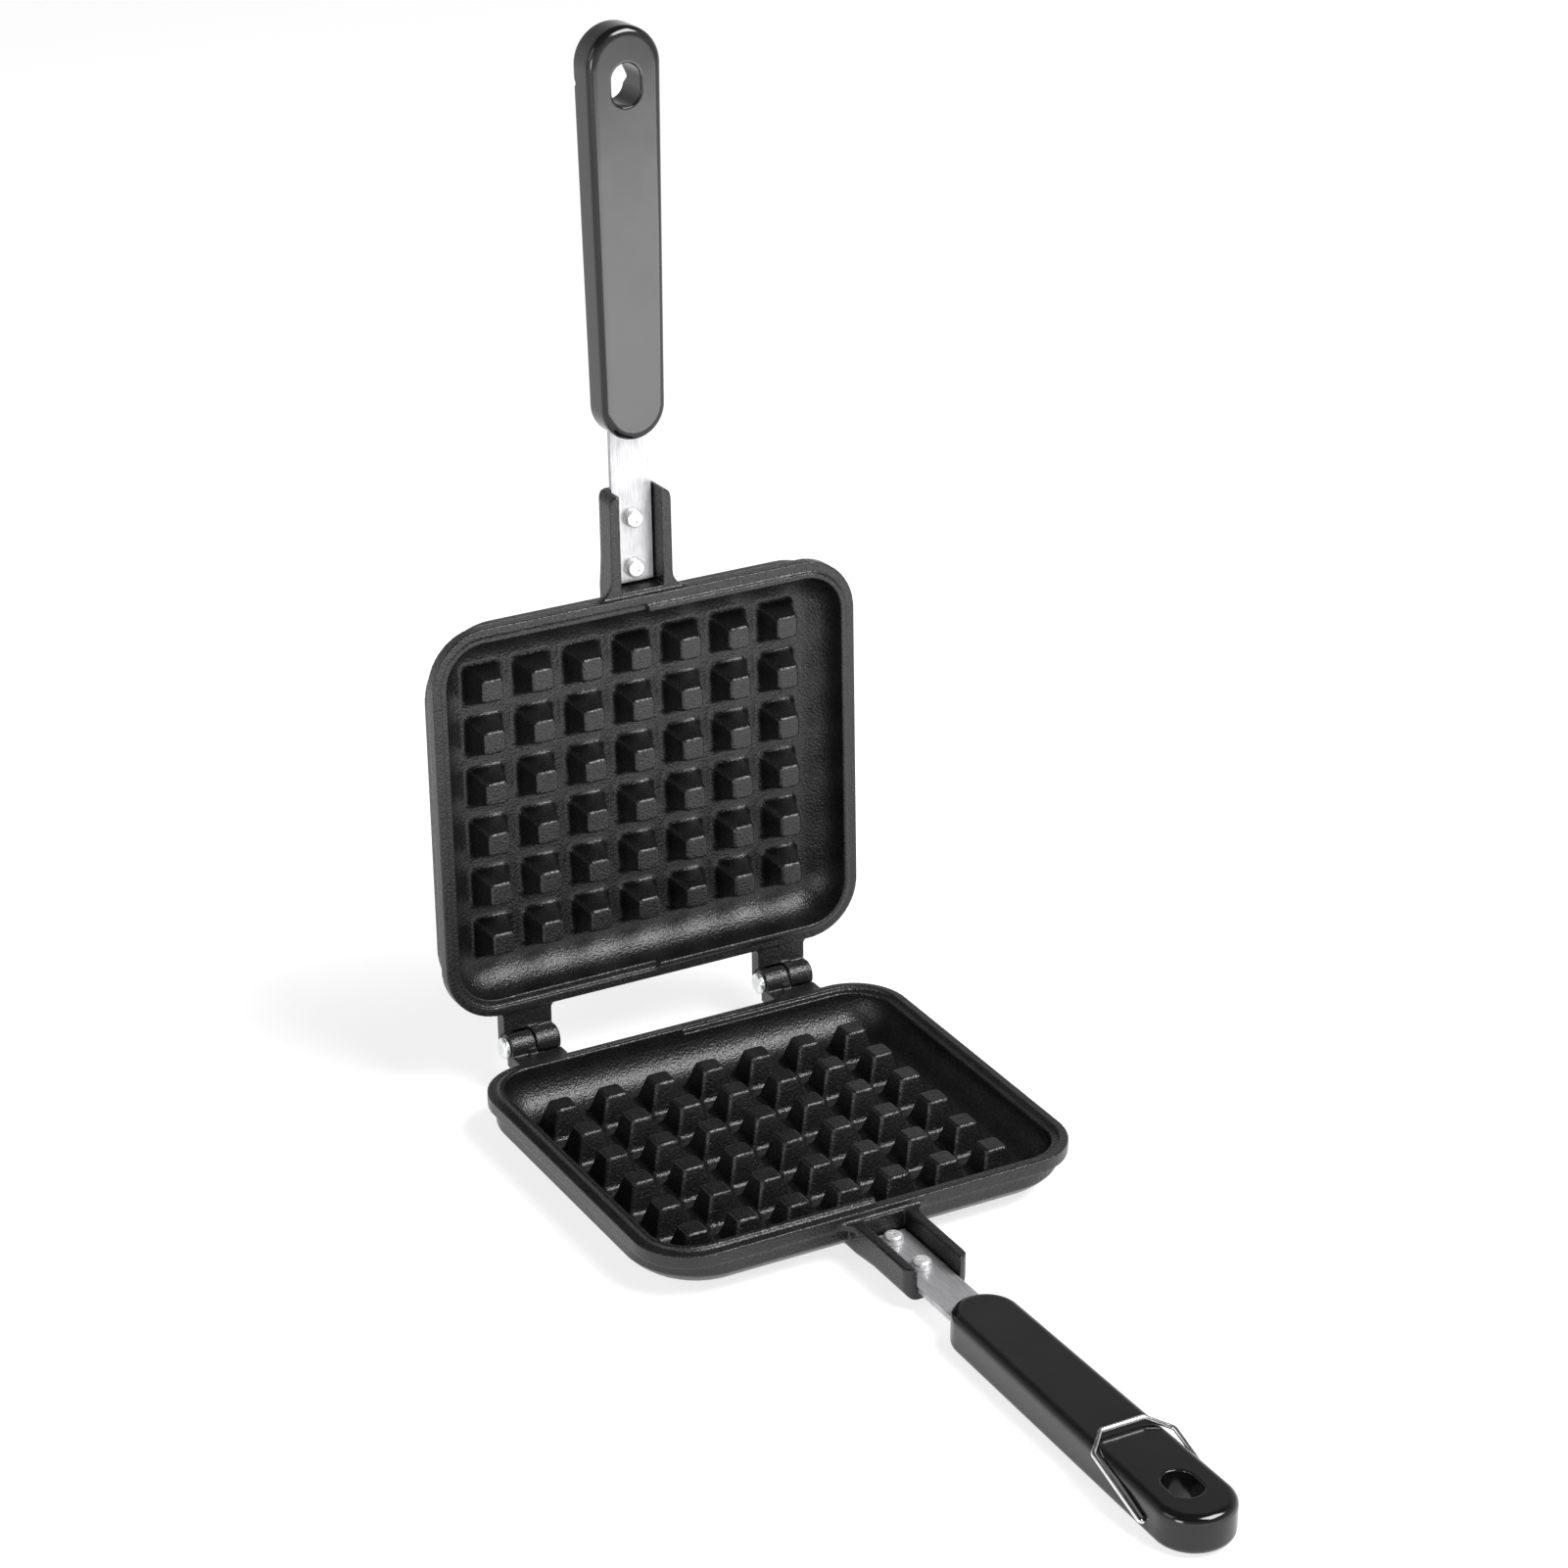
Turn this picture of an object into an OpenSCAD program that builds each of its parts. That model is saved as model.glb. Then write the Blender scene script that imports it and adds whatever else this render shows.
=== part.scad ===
// Egg waffle pan: two cast pan halves on a rear hinge, strap handles with
// moulded grips, and a wire bail that ties the closed handles together.
// Millimetres. X runs along the hinge, -Y to the lower grip, Z up.
// The lower half lies on the floor; the upper half stands open on its stop.

/* [Pan halves] */
// Width of the rim along the hinge
pan_w = 170; // [160:1:190]
// Depth of the rim from front to back
pan_d = 150; // [142:1:170]
// Corner radius of the rim
rim_r = 21; // [17:0.5:23]
// Height of the rim's side face
rim_h = 5; // [4:0.5:7]
// Width of the flat rim around the tray
rim_width = 6; // [5.5:0.5:8]
// Step from the rim's side in to the body
body_step = 0.8; // [0.4:0.1:1.6]
// Corner radius of the body below the rim
body_r = 27; // [24:0.5:30]
// Level below the rim where the body starts to curve under
wall_h = 9.6; // [8:0.2:11]
// Radius of the curve under the body
under_r = 24; // [20:0.5:26]
// Overall height of one half
pan_h = 18.4; // [17.5:0.1:21]
// Depth of the tray floor below the rim
tray_h = 15.3; // [14:0.1:15.8]
// Radius between the tray wall and its floor
tray_r = 12.5; // [9:0.5:13]
// Gap between the two rims when closed
closed_gap = 0.3; // [0.2:0.1:0.6]

/* [Waffle pegs] */
// Pegs along the hinge
peg_nx = 7; // [5:1:7]
// Pegs from front to back
peg_ny = 6; // [4:1:6]
// Pitch along the hinge
peg_px = 19.9; // [18.5:0.1:20.2]
// Pitch from front to back
peg_py = 19.7; // [18.5:0.1:20]
// Width of a peg above the fillet at its foot
peg_foot = 14.2; // [11:0.1:15]
// Width of a peg at its top
peg_top = 8.2; // [6:0.1:10]
// Height of a peg
peg_h = 10.8; // [8:0.1:11.5]
// Fillet between a peg and the tray floor
peg_fillet = 1.2; // [0.8:0.1:2]
// Cut across the upright corners
peg_corner = 1; // [0.5:0.1:1.5]
// Softened edge round the top
peg_edge = 0.5; // [0.3:0.1:0.8]

/* [Rim joint] */
// Height of the raised lip on half of the rim
lip_h = 1.3; // [0.8:0.1:2]
// Width of the lip at its foot
lip_w = 2.4; // [1.8:0.1:3]
// Clearance between the lip and the step it drops into
lip_gap = 0.35; // [0.2:0.05:0.6]

/* [Hinge] */
// From the rim's back edge to the hinge axis
hinge_back = 13.3; // [12.5:0.1:16]
// From the middle of the pan to the middle of each hinge
hinge_x = 52.9; // [40:0.1:58]
// Width of one hinge, both knuckles
hinge_w = 19.5; // [16:0.5:24]
// Radius of a knuckle
knuckle_r = 5; // [4.5:0.1:5.5]
// Gap between the two knuckles
knuckle_gap = 0.4; // [0.3:0.05:0.6]
// Gap between a bracket and the other half's knuckle
relief_gap = 0.5; // [0.4:0.1:0.8]
// Bracket face nearest the parting plane
bracket_top = 2; // [1.5:0.1:3]
// Bracket face farthest from the parting plane
bracket_bottom = 7.5; // [7:0.1:8.5]
// Width of the stop toes behind the knuckles
stop_w = 3; // [2:0.5:5]
// How far the pan opens
open_angle = 92.6; // [92:0.1:110]
// Diameter of the hinge pin
pin_d = 4; // [3:0.1:5]
// Running clearance round the pin, on the radius
pin_clear = 0.06; // [0.04:0.01:0.1]
// Diameter of the pin's head
pin_head_d = 8; // [6:0.5:9]
// Thickness of the pin's head
pin_head_h = 2.4; // [1.5:0.1:3]

/* [Handle socket and strap] */
// Width of the strap
strap_w = 15.6; // [14:0.2:17]
// Thickness of the strap
strap_t = 2; // [1.5:0.1:2.5]
// Side clearance between the strap and the cheeks
strap_clear = 0.6; // [0.5:0.1:2]
// Strap face below the parting plane
strap_level = 9.6; // [8.5:0.1:10.5]
// Wall of the socket's cheeks
cheek_t = 3.8; // [2.5:0.1:4.5]
// Top of the cheeks below the parting plane
cheek_top = 2.6; // [2:0.1:4]
// Length of the socket in front of the rim
socket_l = 38; // [34:0.5:44]
// Floor of the socket
socket_floor = 2.8; // [2.4:0.1:3.5]
// Fillet where the socket meets the rim
socket_fillet = 6.5; // [3:0.5:8]
// From the rim to the strap's end
strap_start = 2.6; // [1.5:0.1:5]
// Length of the strap inside the grip
tang_l = 62; // [40:1:80]
// From the rim to the first screw
screw_first = 8; // [7:0.1:10]
// Distance between the two screws
screw_pitch = 18.8; // [14:0.1:20]
// Screw diameter
screw_d = 4; // [3:0.1:4.2]
// Screw head diameter
screw_head_d = 7.2; // [6.5:0.1:8.5]
// Screw head height
screw_head_h = 2.5; // [2:0.1:3]

/* [Grips] */
// From the rim to the near end of the grip
grip_start = 57; // [52:0.5:70]
// Length of the grip
grip_l = 148; // [120:1:160]
// Radius of the near end, half the width there
grip_r_near = 12.2; // [11:0.1:14]
// Radius of the far end, half the width there
grip_r_far = 14.1; // [13.5:0.1:15]
// Inner face below the parting plane
grip_in = 3.6; // [3.2:0.1:4.5]
// Outer face below the parting plane
grip_out = 17.6; // [16.5:0.1:18]
// Fillet round both faces
grip_edge = 3; // [2:0.1:4]
// Width of the hanging hole
hang_w = 11.2; // [8:0.1:12]
// Length of the hanging hole
hang_l = 15.2; // [12.5:0.1:18]
// From the grip's end to the middle of the hanging hole
hang_end = 20.3; // [18:0.1:24]
// Clearance round the strap inside the grip
tang_clear = 0.1; // [0.05:0.01:0.2]
// Width of the wire notch across the upper grip
notch_w = 6.6; // [5:0.1:9]
// Depth of the wire notch
notch_h = 3.2; // [2:0.1:4]

/* [Wire bail] */
// Wire diameter
wire_d = 1.7; // [1.4:0.1:2.2]
// Running clearance round the wire in its holes, on the radius
wire_clear = 0.08; // [0.05:0.01:0.1]
// Gap between the wire's legs and the grip's sides
leg_gap = 0.4; // [0.3:0.1:1]
// From the pivot to the crossbar
bail_reach = 36.6; // [36:0.1:40]
// Length of the slanted corners along the legs
bail_slant = 7.6; // [5:0.1:9]
// Half length of the straight crossbar
bail_half = 8.2; // [6:0.1:10]
// From the grip's end to the bail's pivot
pivot_end = 20; // [18:0.1:21]
// Pivot above the grip's outer face
pivot_up = 4.9; // [4:0.1:6]
// Depth of the pivot holes
pivot_hole = 5; // [4:0.1:6]
// Gap between the resting crossbar and the grip's face
bail_rest_gap = 1.2; // [1.1:0.1:1.6]
// Inside radius of the bends in the wire
bend_r = 1.4; // [1:0.1:2]
// Inside radius of the bends beside the pivot holes
pivot_bend_r = 0.5; // [0.4:0.1:0.5]

/* [Hidden] */
e = 0.02;
cut = 0.5;
face = -closed_gap / 2;                       // land of each rim
hinge_y = pan_d / 2 + hinge_back;
knuckle_w = (hinge_w - knuckle_gap) / 2;
bore_run = pin_d + 2 * pin_clear;
bore_press = pin_d;
front = -pan_d / 2;
socket_in = strap_w / 2 + strap_clear;
socket_out = socket_in + cheek_t;
socket_seat = strap_level + strap_t;
socket_bottom = socket_seat + socket_floor;
grip_y0 = front - grip_start;
grip_y1 = grip_y0 - grip_l;
near_c = grip_y0 - grip_r_near;
far_c = grip_y1 + grip_r_far;
pivot_y = grip_y1 + pivot_end;
pivot_z = -grip_out + pivot_up;
leg_x = grip_r_far + leg_gap + wire_d / 2;
bail_tilt = asin((-grip_in + bail_rest_gap + wire_d / 2 - pivot_z) / bail_reach);
screw_l = socket_floor + strap_t - 0.4;

// Lower half: from the parting plane's frame down to the floor.
module as_lower() { translate([0, 0, pan_h]) children(); }

// Upper half: the same piece turned over about the handle and opened about the hinge.
module as_upper() {
  translate([0, hinge_y, pan_h]) rotate([-open_angle, 0, 0]) translate([0, -hinge_y, 0])
    rotate([0, 180, 0]) children();
}

// A block with rounded upright corners, from level z0 up to z1.
module rounded_block(w, d, r, z0, z1) {
  translate([0, 0, z0]) linear_extrude(z1 - z0) {
    square([w - 2 * r, d], center = true);
    square([w, d - 2 * r], center = true);
    for (x = [-1, 1], y = [-1, 1]) translate([x * (w / 2 - r), y * (d / 2 - r)]) circle(r, $fn = 64);
  }
}

// Sweeps a profile round a rounded rectangle. The profile's x runs from the corner's
// centre (0) out to the edge (r); its y is the height.
module sweep_round(w, d, r) {
  cx = w / 2 - r;
  cy = d / 2 - r;
  for (k = [0 : 3]) {
    x = (k == 0 || k == 3) ? cx : -cx;
    y = k < 2 ? cy : -cy;
    translate([x, y, 0]) rotate([0, 0, 90 * k]) rotate_extrude(angle = 90, $fn = 64) children();
  }
  for (s = [-1, 1]) {
    translate([s * cx, -s * cy, 0]) rotate([90, 0, s > 0 ? 0 : 180]) mirror([0, 0, 1])
      linear_extrude(2 * cy) children();
    translate([s * cx, s * cy, 0]) rotate([90, 0, s > 0 ? 90 : 270]) mirror([0, 0, 1])
      linear_extrude(2 * cx) children();
  }
}

// Each pan half is drawn as the lower one: parting plane at 0, body below.

// Outside of the body: upright wall, then the wide curve down to the flat underside.
module body_profile() {
  drop = pan_h - wall_h;
  run = sqrt(2 * under_r * drop - drop * drop);
  intersection() {
    translate([0, -pan_h]) square([body_r, pan_h - rim_h + cut]);
    union() {
      translate([body_r - run, under_r - pan_h]) circle(under_r, $fn = 160);
      translate([0, 1 - wall_h]) square([body_r, wall_h - 1]);
      translate([0, -pan_h]) square([body_r - run, pan_h]);
    }
  }
}

module outer_body() {
  w = pan_w - 2 * body_step;
  d = pan_d - 2 * body_step;
  sweep_round(w, d, body_r) body_profile();
  translate([0, 0, (cut - rim_h - pan_h) / 2])
    cube([w - 2 * body_r + e, d - 2 * body_r + e, pan_h - rim_h + cut], center = true);
  rounded_block(pan_w, pan_d, rim_r, -rim_h, face);
}

// Space inside the tray: straight at the rim, then a wide curve into the floor.
module tray_profile(r) {
  difference() {
    translate([0, -tray_h]) square([r, tray_h + cut]);
    difference() {
      translate([r - tray_r, -tray_h - e]) square([tray_r + e, tray_r + e]);
      translate([r - tray_r, tray_r - tray_h]) circle(tray_r, $fn = 96);
    }
  }
}

module tray_space() {
  w = pan_w - 2 * rim_width;
  d = pan_d - 2 * rim_width;
  r = rim_r - rim_width;
  sweep_round(w, d, r) tray_profile(r);
  translate([0, 0, (cut - tray_h) / 2]) cube([w - 2 * r + e, d - 2 * r + e, tray_h + cut], center = true);
}

// Sections of a peg as [height above the tray floor, half width, corner cut].
function peg_sections() =
  let (taper = (peg_foot - peg_top) / 2 / peg_h)
  concat(
    [for (a = [-45, 0, 45, 90])
      let (z = a < 0 ? -0.6 : peg_fillet * (1 - cos(a)), out = a < 0 ? peg_fillet : peg_fillet * (1 - sin(a)))
      [z, peg_foot / 2 - taper * max(z, 0) + out, peg_corner + out / 2]],
    [[peg_h - peg_edge, peg_top / 2 + taper * peg_edge, peg_corner],
     [peg_h, peg_top / 2 - peg_edge, peg_corner * 0.7]]);

// One peg: a tapered block with cut corners, flared at the foot and softened round the top.
module peg() {
  sections = peg_sections();
  last = len(sections) - 1;
  points = [for (s = sections, k = [0 : 3], side = [0, 1])
    let (w = s[1], n = w - s[2], x = side == 0 ? w : n, y = side == 0 ? n : w)
    [x * cos(90 * k) - y * sin(90 * k), x * sin(90 * k) + y * cos(90 * k), s[0] - tray_h]];
  sides = [for (i = [0 : last - 1], k = [0 : 7])
    [8 * i + k, 8 * (i + 1) + k, 8 * (i + 1) + (k + 1) % 8, 8 * i + (k + 1) % 8]];
  polyhedron(points, concat([[for (k = [0 : 7]) k]], sides, [[for (k = [7 : -1 : 0]) 8 * last + k]]));
}

module pegs() {
  for (i = [0 : peg_nx - 1], j = [0 : peg_ny - 1])
    translate([(i - (peg_nx - 1) / 2) * peg_px, (j - (peg_ny - 1) / 2) * peg_py, 0]) peg();
}

// Raised lip on the left half of the rim.
module lip() {
  inner = rim_width;
  r = rim_r - inner + lip_w;
  w = pan_w - 2 * (inner - lip_w);
  d = pan_d - 2 * (inner - lip_w);
  intersection() {
    sweep_round(w, d, r) polygon([[r - lip_w, face - cut], [r, face - cut], [r, face],
      [r - 0.5, face + lip_h], [r - lip_w + 0.3, face + lip_h], [r - lip_w, face + lip_h - 0.3]]);
    translate([-pan_w, -pan_d, -pan_h]) cube([pan_w - lip_gap, 2 * pan_d, 2 * pan_h]);
  }
}

// Step on the right half that the other half's lip drops into.
module lip_step() {
  side = rim_width - lip_w - lip_gap;
  r = rim_r - side;
  intersection() {
    rounded_block(pan_w - 2 * side, pan_d - 2 * side, r, face - lip_h - lip_gap + closed_gap, cut);
    translate([0, -pan_d, -pan_h]) cube([pan_w, 2 * pan_d, 2 * pan_h]);
  }
}

// Socket for the strap: a channel between two cheeks in front of the rim.
module socket() {
  tip = 1.8;
  root = rim_width - 1.5;
  difference() {
    union() {
      difference() {
        translate([0, front + root, -socket_bottom]) linear_extrude(socket_bottom - cheek_top) {
          translate([-socket_out, -socket_l - root + tip]) square([2 * socket_out, socket_l + root - tip]);
          translate([-socket_out + tip, -socket_l - root]) square([2 * (socket_out - tip), tip + e]);
          for (s = [-1, 1]) translate([s * (socket_out - tip), -socket_l - root + tip]) circle(tip, $fn = 48);
        }
        // softened lower edges
        for (s = [-1, 1]) translate([s * socket_out, front - socket_l - cut, -socket_bottom])
          rotate([-90, 0, 0]) linear_extrude(socket_l + root + 2 * cut) difference() {
            square(4, center = true);
            translate([-s * 2, -2]) circle(2, $fn = 40);
          }
      }
      // fillets in plan between the cheeks and the rim
      for (s = [-1, 1]) translate([0, 0, -rim_h]) linear_extrude(rim_h - cheek_top) difference() {
        translate([s > 0 ? socket_out - e : -socket_out - socket_fillet, front - socket_fillet])
          square([socket_fillet + e, socket_fillet + 1]);
        translate([s * (socket_out + socket_fillet), front - socket_fillet])
          circle(socket_fillet, $fn = 48);
      }
    }
    // channel
    translate([-socket_in, front - socket_l - cut, -socket_seat])
      cube([2 * socket_in, socket_l + cut - strap_start + 1, socket_seat]);
    // tapped holes
    for (k = [0, 1]) translate([0, front - screw_first - k * screw_pitch, -socket_bottom - cut])
      cylinder(h = socket_floor + 2 * cut, d = screw_d + 0.06, $fn = 32);
  }
}

// A hinge bracket seen from above, with a small fillet each side where it leaves the rim.
module bracket_plan() {
  f = 3;
  w = hinge_w;
  translate([-w / 2, pan_d / 2 - 2]) square([w, hinge_back + 2]);
  for (s = [-1, 1]) difference() {
    translate([s > 0 ? w / 2 - e : -w / 2 - f, pan_d / 2 - 0.5]) square([f + e, f + 0.5]);
    translate([s * (w / 2 + f), pan_d / 2 + f]) circle(f, $fn = 40);
  }
}

// The wedge behind the axis that the stop faces bound: everything on this half's side of them.
module stop_sector(r) {
  a = open_angle / 2;
  g = 0.15;
  translate([-g * sin(a), -g * cos(a)])
    polygon([[0, 0], [r * cos(a), -r * sin(a)], [r * cos(a), -r * 2], [-r, -r * 2], [-r, 0]]);
}

module along_x(x0, x1) {
  translate([x0, hinge_y, 0]) rotate([90, 0, 90]) linear_extrude(x1 - x0) children();
}

module hinge_bracket(c) {
  relief = knuckle_r + relief_gap;
  a0 = c - hinge_w / 2;
  a1 = a0 + knuckle_w;
  b0 = a1 + knuckle_gap;
  b1 = c + hinge_w / 2;
  difference() {
    union() {
      translate([c, 0, -bracket_bottom]) linear_extrude(bracket_bottom - bracket_top) bracket_plan();
      // stop toe and stop block, next to the gap
      along_x(a1 - stop_w, b0 + stop_w) intersection() {
        translate([-relief, -bracket_bottom]) square([2.6 * relief, bracket_bottom]);
        stop_sector(3 * knuckle_r);
      }
    }
    // room for the other half's knuckle
    along_x(a1, b1 + cut) circle(relief, $fn = 64);
    // the bracket ends at the axis outside the stops
    along_x(b0 + stop_w, b1 + 1) translate([0, -20]) square([20, 40]);
  }
  // own knuckle
  along_x(a0, a1) circle(knuckle_r, $fn = 64);
}

module pan_half(bore) {
  difference() {
    union() {
      difference() {
        union() {
          outer_body();
          socket();
          for (s = [-1, 1]) hinge_bracket(s * hinge_x);
        }
        tray_space();
        lip_step();
      }
      pegs();
      lip();
    }
    // bores for the hinge pins
    for (s = [-1, 1]) translate([s * hinge_x - hinge_w / 2 - cut, hinge_y, 0]) rotate([0, 90, 0])
      cylinder(h = knuckle_w + 2 * cut, d = bore, $fn = 48);
  }
}

module lower_pan() { color("#2b2b2d") as_lower() pan_half(bore_run); }
module upper_pan() { color("#343437") as_upper() pan_half(bore_press); }

// Hinge pin: its head is outside the lower half's knuckle, and its shank runs on into the
// upper half's, where it is pressed in.
module hinge_pin(c) {
  x0 = c - hinge_w / 2 - 0.3 - pin_head_h;
  translate([x0, hinge_y, pan_h]) rotate([0, 90, 0]) {
    translate([0, 0, pin_head_h / 2]) cylinder(h = pin_head_h / 2, d = pin_head_d, $fn = 64);
    cylinder(h = pin_head_h / 2, d1 = pin_head_d - 2, d2 = pin_head_d, $fn = 64);
    translate([0, 0, pin_head_h - e]) cylinder(h = hinge_w + 0.3 - 0.5, d = pin_d, $fn = 48);
  }
}

module hinge_pin_left() { color("#c9cdd1") hinge_pin(-hinge_x); }
module hinge_pin_right() { color("#c9cdd1") hinge_pin(hinge_x); }

// Flat handle strap: screwed into the socket at one end, moulded into the grip at the other.
module strap() {
  y0 = front - strap_start;
  y1 = grip_y0 - tang_l;
  difference() {
    translate([-strap_w / 2, y1, -strap_level - strap_t]) cube([strap_w, y0 - y1, strap_t]);
    for (k = [0, 1]) translate([0, front - screw_first - k * screw_pitch, -socket_seat - cut])
      cylinder(h = strap_t + 2 * cut, d = screw_d + 0.4, $fn = 32);
  }
}

module lower_strap() { color("#aeb3b8") as_lower() strap(); }
module upper_strap() { color("#aeb3b8") as_upper() strap(); }

module screw(k) {
  translate([0, front - screw_first - k * screw_pitch, -strap_level]) difference() {
    union() {
      cylinder(h = screw_head_h * 0.6, d = screw_head_d, $fn = 48);
      translate([0, 0, screw_head_h * 0.6])
        cylinder(h = screw_head_h * 0.4, d1 = screw_head_d, d2 = screw_head_d * 0.72, $fn = 48);
      translate([0, 0, -screw_l]) cylinder(h = screw_l + e, d = screw_d, $fn = 32);
    }
    for (a = [0, 90]) rotate([0, 0, 45 + a]) translate([-2, -0.45, screw_head_h - 1.3]) cube([4, 0.9, 2]);
  }
}

module lower_screw_inner() { color("#d4d6d8") as_lower() screw(0); }
module lower_screw_outer() { color("#d4d6d8") as_lower() screw(1); }
module upper_screw_inner() { color("#d4d6d8") as_upper() screw(0); }
module upper_screw_outer() { color("#d4d6d8") as_upper() screw(1); }

// Half of the grip's section at an end: x from the middle out, both edges rounded.
module edge_profile(r, depth) {
  t = grip_out - grip_in;
  translate([r - depth, -grip_out + grip_edge]) square([depth, t - 2 * grip_edge]);
  translate([r - depth, -grip_out]) square([depth - grip_edge, t]);
  for (z = [-grip_out + grip_edge, -grip_in - grip_edge]) intersection() {
    translate([r - grip_edge, z]) circle(grip_edge, $fn = 48);
    translate([r - depth, -grip_out]) square([depth, t]);
  }
}

module grip_body() {
  hull() {
    translate([0, near_c, 0]) rotate_extrude($fn = 64) edge_profile(grip_r_near, grip_r_near);
    translate([0, far_c, 0]) rotate_extrude($fn = 64) edge_profile(grip_r_far, grip_r_far);
  }
}

module hang_hole() {
  y = grip_y1 + hang_end;
  h = (hang_l - hang_w) / 2;
  translate([0, y, -grip_out - cut]) linear_extrude(grip_out - grip_in + 2 * cut) {
    square([hang_w, 2 * h], center = true);
    for (s = [-1, 1]) translate([0, s * h]) circle(hang_w / 2, $fn = 64);
  }
}

module grip() {
  difference() {
    grip_body();
    hang_hole();
    // slot for the strap
    translate([-strap_w / 2 - tang_clear, grip_y0 - tang_l - tang_clear, -strap_level - strap_t - tang_clear])
      cube([strap_w + 2 * tang_clear, tang_l + tang_clear + 20, strap_t + 2 * tang_clear]);
  }
}

module lower_grip() {
  color("#1b1a1c") as_lower() difference() {
    grip();
    for (s = [-1, 1]) translate([s * (grip_r_far - pivot_hole), pivot_y, pivot_z]) rotate([0, s * 90, 0])
      cylinder(h = pivot_hole + 2, d = wire_d + 2 * wire_clear, $fn = 32);
  }
}

module upper_grip() {
  color("#1b1a1c") as_upper() difference() {
    grip();
    translate([0, pivot_y, -grip_out]) rotate([90, 0, 90]) linear_extrude(60, center = true)
      polygon([[-notch_w / 2 - 0.6, -0.6], [0, notch_h], [notch_w / 2 + 0.6, -0.6]]);
  }
}

// A straight piece of wire from p to q in the XY plane.
module wire_run(p, q) {
  d = q - p;
  translate([p[0], p[1], 0]) rotate([0, 0, atan2(d[1], d[0])]) rotate([0, 90, 0])
    cylinder(h = norm(d), d = wire_d, $fn = 32);
}

// A bent wire along the points p: straight runs, and an arc of radius r[k] at each corner k.
module wire_path(p, r) {
  n = len(p);
  lap = 0.2;
  dirs = [for (k = [0 : n - 2]) (p[k + 1] - p[k]) / norm(p[k + 1] - p[k])];
  turn = [for (k = [0 : n - 1]) k == 0 || k == n - 1 ? 0
    : asin(dirs[k - 1][0] * dirs[k][1] - dirs[k - 1][1] * dirs[k][0])];
  trim = [for (k = [0 : n - 1]) turn[k] == 0 ? 0 : r[k] * tan(abs(turn[k]) / 2) - lap];
  for (k = [0 : n - 2]) wire_run(p[k] + dirs[k] * trim[k], p[k + 1] - dirs[k] * trim[k + 1]);
  for (k = [1 : n - 2]) {
    from = p[k] - dirs[k - 1] * (trim[k] + lap);
    c = from + sign(turn[k]) * r[k] * [-dirs[k - 1][1], dirs[k - 1][0]];
    translate([c[0], c[1], 0]) rotate([0, 0, atan2(from[1] - c[1], from[0] - c[0]) + min(turn[k], 0)])
      rotate_extrude(angle = abs(turn[k]), $fn = 64) translate([r[k], 0]) circle(d = wire_d + 0.02, $fn = 32);
  }
}

// The bail is drawn flat, pivot at 0 and crossbar at +Y, then laid on the lower grip.
module wire_bail() {
  inner = grip_r_far - pivot_hole + 0.4;
  side = [[inner, 0], [leg_x, 0], [leg_x, bail_reach - bail_slant], [bail_half, bail_reach]];
  color("#d7dadd") translate([0, pivot_y, pan_h + pivot_z]) rotate([bail_tilt, 0, 0])
    wire_path([for (q = side) q, for (k = [3 : -1 : 0]) [-side[k][0], side[k][1]]],
      [for (k = [0 : 7]) (k == 1 || k == 6 ? pivot_bend_r : bend_r) + wire_d / 2]);
}

lower_pan();
upper_pan();
hinge_pin_left();
hinge_pin_right();
lower_strap();
upper_strap();
lower_screw_inner();
lower_screw_outer();
upper_screw_inner();
upper_screw_outer();
lower_grip();
upper_grip();
wire_bail();
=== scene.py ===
# Egg waffle pan, standing open on a pale studio floor.
import math
import bpy
import bmesh
from mathutils import Matrix, Vector, Euler


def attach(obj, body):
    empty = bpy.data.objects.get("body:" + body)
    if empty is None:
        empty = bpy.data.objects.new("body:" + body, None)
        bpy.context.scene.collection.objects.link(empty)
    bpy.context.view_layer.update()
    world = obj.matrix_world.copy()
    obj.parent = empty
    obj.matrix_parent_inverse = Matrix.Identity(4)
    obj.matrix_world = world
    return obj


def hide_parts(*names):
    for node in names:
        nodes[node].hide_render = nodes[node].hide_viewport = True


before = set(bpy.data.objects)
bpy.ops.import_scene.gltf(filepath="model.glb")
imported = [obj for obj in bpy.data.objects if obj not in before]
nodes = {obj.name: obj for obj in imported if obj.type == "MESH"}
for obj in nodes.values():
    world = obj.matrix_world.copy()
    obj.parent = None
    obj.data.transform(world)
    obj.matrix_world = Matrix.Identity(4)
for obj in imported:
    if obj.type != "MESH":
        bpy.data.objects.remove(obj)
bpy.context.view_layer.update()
mm = 0.001
print("frame loaded:", len(nodes), "nodes")

# where the halves sit, mm
place = {
    "panHeight": 18.4,
    "hingeY": 88.3,
    "openDegrees": 92.6,
}


def lowerPlace():
    return Matrix.Translation((0, 0, place["panHeight"] * mm))


def upperPlace():
    up = place["panHeight"] * mm
    back = place["hingeY"] * mm
    return (Matrix.Translation((0, back, up))
            @ Matrix.Rotation(math.radians(-place["openDegrees"]), 4, "X")
            @ Matrix.Translation((0, -back, 0))
            @ Matrix.Rotation(math.pi, 4, "Y"))


# a move given in mm
def shift(x, y, z):
    return Matrix.Translation(Vector((x, y, z)) * mm)


def turn(degrees, axis):
    return Matrix.Rotation(math.radians(degrees), 4, axis)


# camera
cameraSetup = {
    "location": (-0.68426, -1.22247, 0.80701),
    "rotationDegrees": (64.7751, -0.3044, -29.1922),
    "lens": 103.7,
    "sensor": 36,
    "clip": (0.01, 20),
}


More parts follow.
